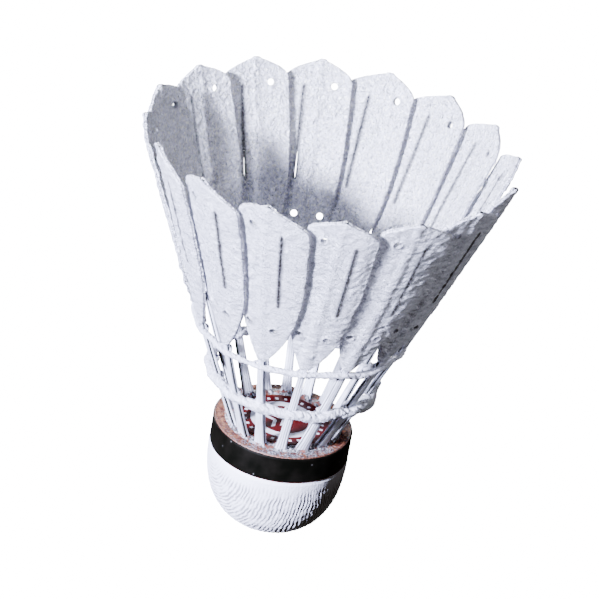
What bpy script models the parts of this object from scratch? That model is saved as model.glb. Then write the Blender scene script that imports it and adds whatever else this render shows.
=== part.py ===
"""Badminton shuttlecock with synthetic feathers.

Sixteen laminated stalks are glued into sockets in a leather-covered cork base. Each stalk
carries a vane made of two thin foam sheets, one bonded to its outer face and one to its
inner face. Two threads are looped round every stalk and hold the skirt in a cone.

Metres, +Z up. The shuttle's axis is Z, from the nose up to the mouth of the skirt, and the
origin is the tip of the nose. Feathers are numbered anticlockwise from the one at -Y.
"""

import math

import bmesh
import bpy
from mathutils import Matrix, Vector

MM = 0.001

# Base: a cork head in two layers, covered with leather.
BASE_HEIGHT = 22.0 * MM
DOME_HEIGHT = 16.1 * MM
DOME_RADIUS = 13.15 * MM
DOME_POWER = 2.5
BAND_SEAT_RADIUS = 12.85 * MM
LEATHER_THICKNESS = 0.6 * MM
CORK_SPLIT_HEIGHT = 11.5 * MM
BAND_WIDTH = 5.4 * MM
BAND_THICKNESS = 0.2 * MM
LABEL_RADIUS = 8.45 * MM
LABEL_THICKNESS = 0.15 * MM
GLUE_INNER_RADIUS = 8.85 * MM
GLUE_OUTER_RADIUS = 11.0 * MM
GLUE_THICKNESS = 0.35 * MM

# Skirt: stalks leaning out from a ring on the cork's top face. Their feet sit a little
# clockwise of their tips, and each bows gently outwards.
FEATHER_COUNT = 16
FOOT_RING_RADIUS = 9.9 * MM
TIP_RING_RADIUS = 33.2 * MM
SKIRT_HEIGHT = 58.95 * MM
FOOT_SKEW = math.radians(5.5)
STALK_BOW = 0.6 * MM
SOCKET_DEPTH = 7.5 * MM
STALK_FOOT_WIDTH = 1.7 * MM
STALK_FOOT_THICKNESS = 1.15 * MM
STALK_TIP_WIDTH = 0.6 * MM
STALK_TIP_THICKNESS = 0.4 * MM
FEATHER_TURN = math.radians(6.5)

# Vanes: distances along the stalk from the cork's top face, widths either side of the stalk.
VANE_BOTTOM = 25.4 * MM
VANE_SHOULDER = 59.5 * MM
VANE_FOOT_HALF_WIDTH = 1.2 * MM
VANE_RIGHT_WIDTH = 7.0 * MM
VANE_LEFT_WIDTH = 5.3 * MM
VANE_LEFT_FLARE = 0.8 * MM
VANE_FLARE_START = 53.0 * MM
VANE_TOP_HALF_WIDTH = 0.7 * MM
FOAM_THICKNESS = 0.3 * MM
RIDGE_SLOPE = 0.4 * MM
WING_TILT_LOW = math.radians(2.5)
WING_TILT_TOP = math.radians(-1.7)
SLOT_OFFSET = 2.85 * MM
SLOT_BOTTOM = 40.0 * MM
SLOT_TOP = 57.5 * MM
SLOT_WIDTH = 0.5 * MM
HOLE_RADIUS = 0.75 * MM
HOLES = ((-2.7 * MM, 58.5 * MM), (-2.6 * MM, 34.8 * MM), (2.3 * MM, 33.2 * MM))

# Threads: the upper one is thin, the lower one is thick with glue.
UPPER_THREAD_PLACE = 23.5 * MM
UPPER_THREAD_DIAMETER = 1.1 * MM
LOWER_THREAD_PLACE = 12.0 * MM
LOWER_THREAD_DIAMETER = 1.5 * MM

GLUE_LINE = 0.06 * MM
CORK_GLUE_LINE = 0.12 * MM
SOCKET_CLEARANCE = 0.08 * MM
ROUND_SEGMENTS = 36

FOOT = Matrix.Rotation(-FOOT_SKEW, 3, "Z") @ Vector((0.0, -FOOT_RING_RADIUS, BASE_HEIGHT))
TIP = Vector((0.0, -TIP_RING_RADIUS, BASE_HEIGHT + SKIRT_HEIGHT))
VANE_TOP = (TIP - FOOT).length
STALK_LENGTH = VANE_TOP - 0.3 * MM


def clear_scene():
    for thing in list(bpy.data.objects):
        bpy.data.objects.remove(thing, do_unlink=True)


def make_material(name, colour, roughness, metallic=0.0):
    material = bpy.data.materials.new(name)
    material.use_nodes = True
    shader = material.node_tree.nodes["Principled BSDF"]
    shader.inputs["Base Color"].default_value = (*colour, 1.0)
    shader.inputs["Roughness"].default_value = roughness
    shader.inputs["Metallic"].default_value = metallic
    return material


def mesh_from(bm, name, sharp_angle=35.0):
    """Turn a bmesh into a mesh that faces outwards and shades smooth between sharp edges."""
    bmesh.ops.recalc_face_normals(bm, faces=bm.faces)
    mesh = bpy.data.meshes.new(name)
    bm.to_mesh(mesh)
    bm.free()
    mesh.shade_smooth()
    mesh.set_sharp_from_angle(angle=math.radians(sharp_angle))
    return mesh


def add_object(name, mesh, material, parent=None):
    if not mesh.materials:
        mesh.materials.append(material)
    thing = bpy.data.objects.new(name, mesh)
    thing.parent = parent
    bpy.context.collection.objects.link(thing)
    return thing


def join_rings(bm, rings, closed=False):
    """Bridge successive vertex rings with quads. A ring of one vertex makes a fan."""
    pairs = list(zip(rings, rings[1:]))
    if closed:
        pairs.append((rings[-1], rings[0]))
    for lower, upper in pairs:
        count = max(len(lower), len(upper))
        for i in range(count):
            j = (i + 1) % count
            corners = [lower[i % len(lower)], lower[j % len(lower)]]
            corners += [upper[j % len(upper)], upper[i % len(upper)]]
            bm.faces.new(list(dict.fromkeys(corners)))


def turned_solid(name, profile, closed=False):
    """A solid of revolution about Z. The profile starts and ends on the axis, or is closed."""
    bm = bmesh.new()
    rings = []
    for radius, height in profile:
        if radius == 0.0:
            rings.append([bm.verts.new((0.0, 0.0, height))])
            continue
        angles = [math.tau * i / ROUND_SEGMENTS for i in range(ROUND_SEGMENTS)]
        ring = [bm.verts.new((radius * math.cos(a), radius * math.sin(a), height)) for a in angles]
        rings.append(ring)
    join_rings(bm, rings, closed)
    return mesh_from(bm, name)


def dome_curve(radius, bottom, start=None, end=DOME_HEIGHT, steps=7):
    """Points up the rounded nose, a superellipse whose tip is on the axis at bottom."""
    height = DOME_HEIGHT - bottom
    start = bottom if start is None else start
    first, last = (math.asin(((DOME_HEIGHT - level) / height) ** (DOME_POWER / 2))
                   for level in (start, end))
    points = []
    for step in range(steps + 1):
        angle = first + (last - first) * step / steps
        reach = radius * max(math.cos(angle), 0.0) ** (2 / DOME_POWER)
        points.append((reach, DOME_HEIGHT - height * math.sin(angle) ** (2 / DOME_POWER)))
    if start == bottom:
        points[0] = (0.0, bottom)
    return points


def boolean(thing, operation, tool):
    modifier = thing.modifiers.new(operation.lower(), "BOOLEAN")
    modifier.operation = operation
    modifier.object = tool
    tool.hide_render = True
    tool.display_type = "WIRE"


# ---------------------------------------------------------------- base

def add_leather_cover(material):
    inner_radius = BAND_SEAT_RADIUS - LEATHER_THICKNESS
    band_step = BASE_HEIGHT - BAND_WIDTH
    profile = dome_curve(DOME_RADIUS, 0.0)
    profile += [(BAND_SEAT_RADIUS, band_step), (BAND_SEAT_RADIUS, BASE_HEIGHT)]
    profile += [(inner_radius, BASE_HEIGHT)]
    profile += reversed(dome_curve(inner_radius, LEATHER_THICKNESS))
    add_object("leather_cover", turned_solid("leather_cover", profile), material)


def add_cork(material_nose, material_collar, sockets):
    """The nose of natural cork, and the collar of pressed cork that holds the stalks."""
    radius = BAND_SEAT_RADIUS - LEATHER_THICKNESS - CORK_GLUE_LINE
    bottom = LEATHER_THICKNESS + CORK_GLUE_LINE
    nose = dome_curve(radius, bottom, end=CORK_SPLIT_HEIGHT)
    nose += [(0.0, CORK_SPLIT_HEIGHT)]
    add_object("cork_nose", turned_solid("cork_nose", nose), material_nose)

    seam = CORK_SPLIT_HEIGHT + GLUE_LINE
    collar = [(0.0, seam)] + dome_curve(radius, bottom, start=seam, steps=4)
    collar += [(radius, BASE_HEIGHT), (0.0, BASE_HEIGHT)]
    holder = add_object("cork_collar", turned_solid("cork_collar", collar), material_collar)
    boolean(holder, "DIFFERENCE", sockets)


def add_rim_band(material):
    inner = BAND_SEAT_RADIUS + GLUE_LINE
    outer = inner + BAND_THICKNESS
    bottom = BASE_HEIGHT - BAND_WIDTH + 0.1 * MM
    top = BASE_HEIGHT - 0.15 * MM
    profile = [(inner, bottom), (outer, bottom), (outer, top), (inner, top)]
    add_object("rim_band", turned_solid("rim_band", profile, closed=True), material)


def add_label_disc(material):
    low = BASE_HEIGHT + GLUE_LINE
    high = low + LABEL_THICKNESS
    profile = [(0.0, low), (LABEL_RADIUS, low), (LABEL_RADIUS, high), (0.0, high)]
    add_object("label_disc", turned_solid("label_disc", profile), material)


def add_foot_glue(material, sockets):
    """The collar of glue that runs round the feet of all the stalks."""
    low = BASE_HEIGHT + GLUE_LINE
    high = low + GLUE_THICKNESS
    bevel = GLUE_THICKNESS
    profile = [(GLUE_INNER_RADIUS, low), (GLUE_OUTER_RADIUS, low)]
    profile += [(GLUE_OUTER_RADIUS - bevel, high), (GLUE_INNER_RADIUS + bevel / 2, high)]
    ring = add_object("foot_glue", turned_solid("foot_glue", profile, closed=True), material)
    boolean(ring, "DIFFERENCE", sockets)


# ---------------------------------------------------------------- stalks

def blend(start, end, amount):
    return start + (end - start) * min(max(amount, 0.0), 1.0)


def stalk_half_width(place):
    return 0.5 * blend(STALK_FOOT_WIDTH, STALK_TIP_WIDTH, place / STALK_LENGTH)


def stalk_half_thickness(place):
    return 0.5 * blend(STALK_FOOT_THICKNESS, STALK_TIP_THICKNESS, place / STALK_LENGTH)


def stalk_bow(place):
    share = place / VANE_TOP
    return 4.0 * STALK_BOW * share * (1.0 - share)


def add_stalk_shape(bm, clearance=0.0):
    """A tapered flat bar, gently bowed: X across, -Y outwards, Z along the stalk."""
    places = [-SOCKET_DEPTH - clearance, 0.0, 0.5 * VANE_BOTTOM]
    places += [blend(VANE_BOTTOM, STALK_LENGTH, step / 3) for step in range(3)]
    places += [STALK_LENGTH + clearance]
    rings = []
    for place in places:
        wide = stalk_half_width(place) + clearance
        deep = stalk_half_thickness(place) + clearance
        bow = stalk_bow(place)
        corners = [(wide, deep), (-wide, deep), (-wide, -deep), (wide, -deep)]
        rings.append([bm.verts.new((x, y - bow, place)) for x, y in corners])
    join_rings(bm, rings)
    bm.faces.new(rings[0])
    bm.faces.new(rings[-1])


def seat_matrix(index):
    """The frame of one feather at its foot, before the feather's own turn."""
    along = (TIP - FOOT).normalized()
    outwards = Matrix.Rotation(-0.5 * FOOT_SKEW, 3, "Z") @ Vector((0.0, -1.0, 0.0))
    across = along.cross(outwards).normalized()
    frame = Matrix((across, along.cross(across), along)).transposed().to_4x4()
    around = Matrix.Rotation(math.tau * index / FEATHER_COUNT, 4, "Z")
    return around @ Matrix.Translation(FOOT) @ frame


def add_stalk_cutter(clearance):
    """All the stalks, slightly enlarged: cuts their sockets and the loops of the threads."""
    one = bmesh.new()
    add_stalk_shape(one, clearance)
    mesh = mesh_from(one, "stalk_cutter_bar")
    bm = bmesh.new()
    for index in range(FEATHER_COUNT):
        known = set(bm.verts)
        bm.from_mesh(mesh)
        fresh = [vert for vert in bm.verts if vert not in known]
        place = seat_matrix(index) @ Matrix.Rotation(-FEATHER_TURN, 4, "Z")
        bmesh.ops.transform(bm, matrix=place, verts=fresh)
    cutter = bpy.data.objects.new("stalk_cutter", mesh_from(bm, "stalk_cutter"))
    bpy.context.collection.objects.link(cutter)
    return cutter


# ---------------------------------------------------------------- vanes

def vane_edge(place, full_width, flare=0.0):
    """Widens quickly above the pointed foot, then closes like a roof above the shoulder."""
    level = min(place, VANE_SHOULDER)
    rise = (level - VANE_BOTTOM) / (VANE_SHOULDER - VANE_BOTTOM)
    width = blend(VANE_FOOT_HALF_WIDTH, full_width, 1.0 - (1.0 - rise) ** 3.5)
    width += flare * max((level - VANE_FLARE_START) / (VANE_SHOULDER - VANE_FLARE_START), 0.0) ** 2
    drop = max((place - VANE_SHOULDER) / (VANE_TOP - VANE_SHOULDER), 0.0)
    return max(width * (1.0 - drop ** 1.5), VANE_TOP_HALF_WIDTH)


def vane_rows():
    """Places along the stalk where a vane's outline has points, closer together at its ends."""
    span = VANE_SHOULDER - VANE_BOTTOM
    rows = [VANE_BOTTOM + span * (step / 5) ** 1.5 for step in range(6)]
    rows += [blend(VANE_SHOULDER, VANE_TOP, part) for part in (0.5, 1.0)]
    return rows


def sheet_section(place):
    """(across, inwards) points down the middle of a vane's wings, which tilt off the stalk."""
    left = -vane_edge(place, VANE_LEFT_WIDTH, VANE_LEFT_FLARE)
    right = vane_edge(place, VANE_RIGHT_WIDTH)
    foot = min(stalk_half_width(place) + GLUE_LINE + RIDGE_SLOPE, -left - 0.05 * MM)
    flat = min(stalk_half_width(place) + GLUE_LINE, foot - 0.05 * MM)
    low_end = vane_rows()[2]
    rise = (place - low_end) / (VANE_SHOULDER - low_end)
    tilt = math.tan(blend(WING_TILT_LOW, WING_TILT_TOP, rise))
    ridge = stalk_half_thickness(place)
    points = []
    for across, lift in ((left, 0.0), (-foot, 0.0), (-flat, ridge), (flat, ridge), (foot, 0.0),
                         (right, 0.0)):
        wing = 0.0 if lift else -tilt * across
        points.append((across, wing - stalk_bow(place), lift + GLUE_LINE))
    return points


def foam_sheet_mesh(name, side):
    """One foam sheet lying on the outer (side -1) or inner (side +1) face of the stalk."""
    bm = bmesh.new()
    near = []
    far = []
    for place in vane_rows():
        section = sheet_section(place)
        near.append([bm.verts.new((x, y + side * gap, place)) for x, y, gap in section])
        far.append([bm.verts.new((x, y + side * (gap + FOAM_THICKNESS), place))
                    for x, y, gap in section])
    for layer in (near, far):
        for lower, upper in zip(layer, layer[1:]):
            for i in range(len(lower) - 1):
                bm.faces.new((lower[i], lower[i + 1], upper[i + 1], upper[i]))
    for row in range(len(near) - 1):
        for end in (0, -1):
            bm.faces.new((near[row][end], near[row + 1][end], far[row + 1][end], far[row][end]))
    for row in (0, -1):
        for i in range(len(near[row]) - 1):
            bm.faces.new((near[row][i], near[row][i + 1], far[row][i + 1], far[row][i]))
    return mesh_from(bm, name)


def add_perforation_cutter():
    """The slot beside the stalk and the three round holes, cut through both sheets."""
    bm = bmesh.new()
    depth = 4.0 * MM
    slot_middle = Matrix.Translation((SLOT_OFFSET, 0.0, 0.5 * (SLOT_BOTTOM + SLOT_TOP)))
    slot_size = Matrix.Diagonal((SLOT_WIDTH, depth, SLOT_TOP - SLOT_BOTTOM, 1.0))
    bmesh.ops.create_cube(bm, size=1.0, matrix=slot_middle @ slot_size)
    for across, place in HOLES:
        axis = Matrix.Translation((across, 0.0, place)) @ Matrix.Rotation(math.pi / 2, 4, "X")
        bmesh.ops.create_cone(bm, cap_ends=True, segments=8, radius1=HOLE_RADIUS,
                              radius2=HOLE_RADIUS, depth=depth, matrix=axis)
    cutter = bpy.data.objects.new("perforation_cutter", mesh_from(bm, "perforation_cutter"))
    bpy.context.collection.objects.link(cutter)
    return cutter


def perforated(mesh, cutter):
    """Cut the perforations once, so that all sixteen sheets can share the finished mesh."""
    blank = bpy.data.objects.new("blank", mesh)
    bpy.context.collection.objects.link(blank)
    boolean(blank, "DIFFERENCE", cutter)
    view = bpy.context.evaluated_depsgraph_get()
    finished = bpy.data.meshes.new_from_object(blank.evaluated_get(view))
    bpy.data.objects.remove(blank, do_unlink=True)
    return finished


def add_feathers(stalk_material, outer_material, inner_material):
    bm = bmesh.new()
    add_stalk_shape(bm)
    stalk = mesh_from(bm, "stalk")
    cutter = add_perforation_cutter()
    outer = perforated(foam_sheet_mesh("outer_vane", -1.0), cutter)
    inner = perforated(foam_sheet_mesh("inner_vane", 1.0), cutter)
    bpy.data.objects.remove(cutter, do_unlink=True)
    pieces = (("stalk", stalk, stalk_material), ("outer_vane", outer, outer_material),
              ("inner_vane", inner, inner_material))
    for index in range(FEATHER_COUNT):
        seat = bpy.data.objects.new(f"feather_seat_{index + 1:02d}", None)
        bpy.context.collection.objects.link(seat)
        seat.matrix_world = seat_matrix(index)
        for name, mesh, material in pieces:
            piece = add_object(f"{name}_{index + 1:02d}", mesh, material, parent=seat)
            piece.rotation_euler.z = -FEATHER_TURN


# ---------------------------------------------------------------- threads

def thread_section(bm, frame, across, half_depth, half_height):
    """One eight-sided section of a thread, in the upright plane at a distance across."""
    edge = 0.35 * half_height
    corners = [(half_depth, half_height - edge), (half_depth - edge, half_height)]
    corners += [(-depth, height) for depth, height in reversed(corners)]
    corners += [(-depth, -height) for depth, height in corners]
    return [bm.verts.new(frame @ Vector((across, depth, height))) for depth, height in corners]


def add_thread(name, place, diameter, material, stalks):
    """A thread round the whole skirt, swelling to a loop that encloses each stalk."""
    run = 0.5 * diameter
    loop = stalk_half_thickness(place) + SOCKET_CLEARANCE + 0.95 * diameter
    loop_end = stalk_half_width(place) + 0.35 * MM
    run_start = loop_end + 0.8 * diameter
    bm = bmesh.new()
    rings = []
    for index in range(FEATHER_COUNT):
        centre = seat_matrix(index) @ Vector((0.0, -stalk_bow(place), place))
        facing = math.atan2(centre.y, centre.x) + 0.5 * math.pi
        frame = Matrix.Translation(centre) @ Matrix.Rotation(facing, 4, "Z")
        for across, half_depth in ((-run_start, run), (-loop_end, loop),
                                   (loop_end, loop), (run_start, run)):
            rings.append(thread_section(bm, frame, across, half_depth, run))
    join_rings(bm, rings, closed=True)
    thread = add_object(name, mesh_from(bm, name), material)
    boolean(thread, "DIFFERENCE", stalks)


def main():
    clear_scene()
    stalk_cutter = add_stalk_cutter(SOCKET_CLEARANCE)
    white_foam = (0.80, 0.82, 0.87)
    cotton = make_material("glued_cotton", (0.82, 0.83, 0.84), 0.6)
    add_leather_cover(make_material("white_leather", (0.78, 0.78, 0.77), 0.55))
    add_cork(make_material("natural_cork", (0.50, 0.33, 0.20), 0.85),
             make_material("pressed_cork", (0.58, 0.38, 0.25), 0.85), stalk_cutter)
    add_rim_band(make_material("black_tape", (0.012, 0.012, 0.008), 0.4))
    add_label_disc(make_material("red_label", (0.23, 0.008, 0.02), 0.45))
    add_foot_glue(make_material("clear_glue", (0.60, 0.52, 0.46), 0.3), stalk_cutter)
    add_feathers(make_material("laminated_stalk", (0.62, 0.63, 0.66), 0.4),
                 make_material("outer_foam", white_foam, 0.55),
                 make_material("inner_foam", white_foam, 0.55))
    add_thread("upper_thread", UPPER_THREAD_PLACE, UPPER_THREAD_DIAMETER, cotton, stalk_cutter)
    add_thread("lower_thread", LOWER_THREAD_PLACE, LOWER_THREAD_DIAMETER, cotton, stalk_cutter)


main()
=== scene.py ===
"""The looks of a badminton shuttlecock with synthetic feathers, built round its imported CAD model.

Lengths are in millimetres up to make_object(), which turns them into metres. The stage, its lamps
and the camera, at the end, are in metres. Each feather is drawn in its own frame, read from its
CAD stalk: X across, Y inwards, Z along the stalk from the cork's top face.
"""

import math

from collections import namedtuple

import bpy
import numpy as np
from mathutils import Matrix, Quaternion, Vector
from mathutils.geometry import delaunay_2d_cdt


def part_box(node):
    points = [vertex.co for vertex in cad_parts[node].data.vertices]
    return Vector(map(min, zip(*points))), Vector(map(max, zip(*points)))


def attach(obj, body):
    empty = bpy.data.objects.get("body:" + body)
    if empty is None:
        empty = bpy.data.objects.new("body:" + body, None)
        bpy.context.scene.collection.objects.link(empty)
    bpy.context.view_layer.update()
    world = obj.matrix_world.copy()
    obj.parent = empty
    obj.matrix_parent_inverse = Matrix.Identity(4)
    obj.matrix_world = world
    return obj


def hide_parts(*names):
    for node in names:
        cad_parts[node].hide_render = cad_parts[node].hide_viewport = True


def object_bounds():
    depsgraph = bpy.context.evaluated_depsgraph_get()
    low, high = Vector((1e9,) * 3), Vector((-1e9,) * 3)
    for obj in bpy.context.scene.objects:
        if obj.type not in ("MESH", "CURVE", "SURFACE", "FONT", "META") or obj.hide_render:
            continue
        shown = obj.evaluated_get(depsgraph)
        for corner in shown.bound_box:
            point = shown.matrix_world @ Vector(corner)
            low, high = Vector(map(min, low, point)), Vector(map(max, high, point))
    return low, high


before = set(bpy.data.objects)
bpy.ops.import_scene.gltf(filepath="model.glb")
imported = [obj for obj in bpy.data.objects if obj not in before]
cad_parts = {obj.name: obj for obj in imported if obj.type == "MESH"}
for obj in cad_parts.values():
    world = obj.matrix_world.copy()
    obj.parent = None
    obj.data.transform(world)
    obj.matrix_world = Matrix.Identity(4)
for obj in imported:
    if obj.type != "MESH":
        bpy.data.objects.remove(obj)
cad_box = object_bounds()

MM = 0.001
SEED = 20
FEATHER_COUNT = 16
UP = np.array((0.0, 0.0, 1.0))
LEVEL = (1.0, 1.0, 0.0)

# The flat pattern of a vane: distances along the stalk, and widths either side of it.
VANE_BOTTOM = 25.0
VANE_SHOULDER = 59.5
VANE_FOOT_HALF_WIDTH = 0.9
VANE_FOOT_POWER = 3.5
VANE_RIGHT_WIDTH = 7.35
VANE_LEFT_WIDTH = 6.0
RIGHT_ROOF_POWER = 1.55
LEFT_ROOF_POWER = 1.85
RIGHT_TOP_WIDTH = 0.6
LEFT_TOP_WIDTH = 0.75
VANE_CORNER_REACH = 0.9
SLOT_OFFSET = 2.85
SLOT_BOTTOM = 40.8
SLOT_TOP = 58.0
SLOT_HALF_WIDTH = 0.01
HOLE_RADIUS = 0.62
HOLES = ((-2.7, 58.5), (-2.6, 34.1), (2.3, 34.15))

# The mesh over the pattern: the spacing of its points, the loops of points beside the edges (as
# shares of the rounding there), and how far the loose points keep away from them (likewise).
FINE_SPACING = 0.1
OUTLINE_SPACING = 0.33
PATTERN_REACH = 7.5
PATTERN_SPACING = 0.42
ROW_SHARE = 0.87
EDGE_LOOPS = (0.45, 1.0)
OUTER_CUT_LOOP = 1.6
CLEAR_OF_EDGE = 1.7
CLEAR_OF_CUTS = 3.6

# The foam sheets, how they lie over the stalk, and how their wings bend.
FOAM_THICKNESS = 0.34
SHEET_GAP = 0.03
EDGE_ROUNDING = 0.17
CUT_ROUNDING = 0.10
RIDGE_SLOPE = 0.8
RIDGE_SHARE = 0.8
WING_TILT_LOW = math.radians(2.5)
WING_TILT_TOP = math.radians(-0.3)
RIGHT_CURVE_RADIUS = 19.5
LEFT_CURVE_RADIUS = 30.0
FOOT_CURVE_SHARE = 0.45
STALK_BOW = 0.6
BROAD_WAVE = 0.12
EDGE_WAVE = 0.07
RAGGEDNESS = 0.03

# The relief of the foam's skins, and the lips that the cuts raise.
CREASE_HEIGHT = 0.07
FOLD_DEPTH = 0.09
FOLD_WIDTH = 0.13
DIMPLE_HEIGHT = 0.075
OUTER_LIP = 0.05
INNER_LIP = 0.03
HOLE_LIP = 0.21
INNER_HOLE_LIP = 0.14
# How dark the holes' walls are painted, as the shade inside the holes.
HOLE_PAINTED_SHADE = 0.5

# How far apart the two sides of a slot stand, on the vanes where it gapes low down.
SLOT_GAPES = {8: 0.05, 9: 0.06, 10: 0.015}
SLOT_GAPE_TOP = 47.5
# How far to the side the inner sheet's slot lies, so that the two slots don't line up.
INNER_SLOT_SHIFT = 0.12
# The low holes that were never fully punched, by vane, and how small they are.
PLUGGED_HOLES = {7: (1, 2)}
PLUG_RADIUS = 0.06
# The share by which some vanes were cut narrower on their right.
WING_TRIMS = {0: 0.14, 8: 0.08}

# The stalk's layers, from the outer face inwards, as shares of its thickness.
OUTER_LAYER = 0.28
INNER_LAYER = 0.40
WHITE, BLACK = 0, 1
# How far its core stands proud, how much its corners are cut, and how far it strays sideways.
CORE_STANDS_PROUD = 0.02
STALK_CORNER = 0.07
STALK_DRIFT = 0.05
SOCKET_DEPTH = 7.5
# How much wider the stalk gets close to the cork, and more gently further up.
FOOT_FLARE = 0.32
FOOT_FLARE_REACH = 2.2
LOW_FLARE = 0.10
LOW_FLARE_REACH = 18.0

# What each surface of the thin foam lets through of the light that strikes it.
LIGHT_PASSED = (0.51, 0.51, 0.51)
# How far apart two feathers' patterns lie, and the patterns of a stalk's two faces, so that no two
# are alike.
FEATHER_PITCH = 31.0
INNER_FACE_PITCH = 7.3

# The threads: their places along the stalks, and how far they stray up and down.
UPPER_THREAD_PLACE = 23.5
UPPER_THREAD_DIAMETER = 1.2
LOWER_THREAD_PLACE = 12.0
LOWER_THREAD_DIAMETER = 1.95
THREAD_SAG = 0.28
STEPS_BETWEEN_STALKS = 60
# Where the glue on the lower thread starts and ends, counted in stalks from the first one.
GLUE_START = 0.9
GLUE_END = 4.3
CURTAIN_DEPTH = 1.6

# The cork and what covers it.
DOME_HEIGHT = 16.1
DOME_RADIUS = 13.15
DOME_POWER = 2.5
BAND_SEAT_RADIUS = 12.85
BAND_WIDTH = 5.15
BAND_THICKNESS = 0.21
LEATHER_THICKNESS = 0.6
RIM_INNER_RADIUS = 12.62
GRAIN_AXIS = np.array((0.95, 0.31, 0.0))
WRINKLE_SPACING = 0.66
WRINKLE_DEPTH = 0.17
CORK_SEAM = 11.56
GLUE_INNER_RADIUS = 8.95
GLUE_OUTER_RADIUS = 11.0
LABEL_TURN = math.radians(20.0)
LABEL_SPACING = 0.3
LABEL_DASHES = 28


# --- meshes

def make_object(name, points, faces, material, replaced=(), uv=None, kinds=None):
    """A piece from points in millimetres. kinds gives each face's material, where there are several."""
    mesh = bpy.data.meshes.new(name)
    mesh.from_pydata((np.asarray(points) * MM).tolist(), [], faces)
    for one in material if isinstance(material, (list, tuple)) else [material]:
        mesh.materials.append(one)
    if kinds is not None:
        mesh.polygons.foreach_set("material_index", np.asarray(kinds, np.int32))
    if uv is not None:
        layer = mesh.attributes.new("pattern", "FLOAT_VECTOR", "POINT")
        flat = np.zeros((len(points), 3), np.float32)
        flat[:, :uv.shape[1]] = uv
        layer.data.foreach_set("vector", flat.ravel())
    mesh.shade_smooth()
    mesh.validate()
    piece = bpy.data.objects.new(name, mesh)
    bpy.context.scene.collection.objects.link(piece)
    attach(piece, "root")
    if replaced:
        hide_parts(*replaced)
    return piece


def keep_corners(piece, degrees):
    """Shades a piece smooth except across edges sharper than this."""
    piece.data.set_sharp_from_angle(angle=math.radians(degrees))


def ring_faces(rings, around, closed=False):
    """Quads between rings of points, each ring closed on itself."""
    faces = []
    for ring in range(rings if closed else rings - 1):
        here = ring * around
        there = (ring + 1) % rings * around
        for i in range(around):
            j = (i + 1) % around
            faces.append((here + i, here + j, there + j, there + i))
    return faces


def end_caps(rings, around):
    """The two faces that close the first and the last of the rings."""
    last = (rings - 1) * around
    return [tuple(range(around))[::-1], tuple(range(last, last + around))]


def end_fans(rings, around):
    """Triangles that close the first and the last ring onto the two points that follow the rings."""
    first_tip, last_tip = rings * around, rings * around + 1
    last = (rings - 1) * around
    faces = [(first_tip, (i + 1) % around, i) for i in range(around)]
    return faces + [(last_tip, last + i, last + (i + 1) % around) for i in range(around)]


def smoothstep(value):
    value = np.clip(value, 0.0, 1.0)
    return value * value * (3.0 - 2.0 * value)


def bell(value, width):
    """A hump that is 1 where the value is 0 and falls away on both sides."""
    return np.exp(-(value / width) ** 2)


def unit_rows(vectors):
    """The vectors, one to a row, each made 1 long."""
    return vectors / np.maximum(np.linalg.norm(vectors, axis=1), 1e-6)[:, None]


def circle(middle, radius, count):
    turn = np.linspace(0.0, math.tau, count, endpoint=False)
    return np.column_stack((np.cos(turn), np.sin(turn))) * radius + middle


def spin_matrix(angle):
    """Turns flat points, one to a row, when they are multiplied by it."""
    return np.array(((math.cos(angle), math.sin(angle)), (-math.sin(angle), math.cos(angle))))


def distances_along(line):
    """How far along an open line each of its points lies."""
    return np.concatenate(([0.0], np.cumsum(np.linalg.norm(np.diff(line, axis=0), axis=1))))


def interpolated(stops, places, points):
    """The points at the stops, from the points at the given places."""
    return np.column_stack([np.interp(stops, places, column) for column in points.T])


def rolling_mean(loop, half):
    """A closed line smoothed by averaging each point with its neighbours on both sides."""
    return np.mean([np.roll(loop, shift, axis=0) for shift in range(-half, half + 1)], axis=0)


def resampled(loop, spacing):
    """Points at even spacing along a closed line."""
    closed = np.vstack((loop, loop[:1]))
    reach = distances_along(closed)
    count = max(8, round(reach[-1] / spacing))
    return interpolated(np.linspace(0.0, reach[-1], count, endpoint=False), reach, closed)


def side_and_up(path, closed=False):
    """Two directions square to a path at each of its points: level sideways, and mostly up."""
    if closed:
        ahead = np.roll(path, -1, axis=0) - np.roll(path, 1, axis=0)
    else:
        ahead = np.gradient(path, axis=0)
    ahead = unit_rows(ahead)
    up = unit_rows(UP - ahead * ahead[:, 2:])
    return np.cross(ahead, up), up


def turned(profile, around):
    """Points of a surface of revolution from (radius, height) pairs."""
    angles = np.linspace(0.0, math.tau, around, endpoint=False)
    radius = np.array([r for r, _ in profile])[:, None]
    height = np.array([z for _, z in profile])[:, None] + 0.0 * angles
    points = np.stack((radius * np.cos(angles), radius * np.sin(angles), height), axis=-1)
    return points.reshape(-1, 3)


def wave_field(rng, shortest, longest, count=24, dimensions=2, stretch=1.0):
    """A smooth random function of a point, about -1 to 1, with waves of the given lengths."""
    directions = unit_rows(rng.normal(size=(count, dimensions)))
    directions[:, -1] *= stretch
    waves = directions * (math.tau / rng.uniform(shortest, longest, count))[:, None]
    phases = rng.uniform(0.0, math.tau, count)

    def field(points):
        return np.sin(points @ waves.T + phases).sum(axis=1) * math.sqrt(2.0 / count) * 0.7
    return field


def space_waves(rng, *bands):
    """Wave fields in space, one for each (shortest, longest, count)."""
    return [wave_field(rng, *band, dimensions=3) for band in bands]


# --- materials

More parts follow.
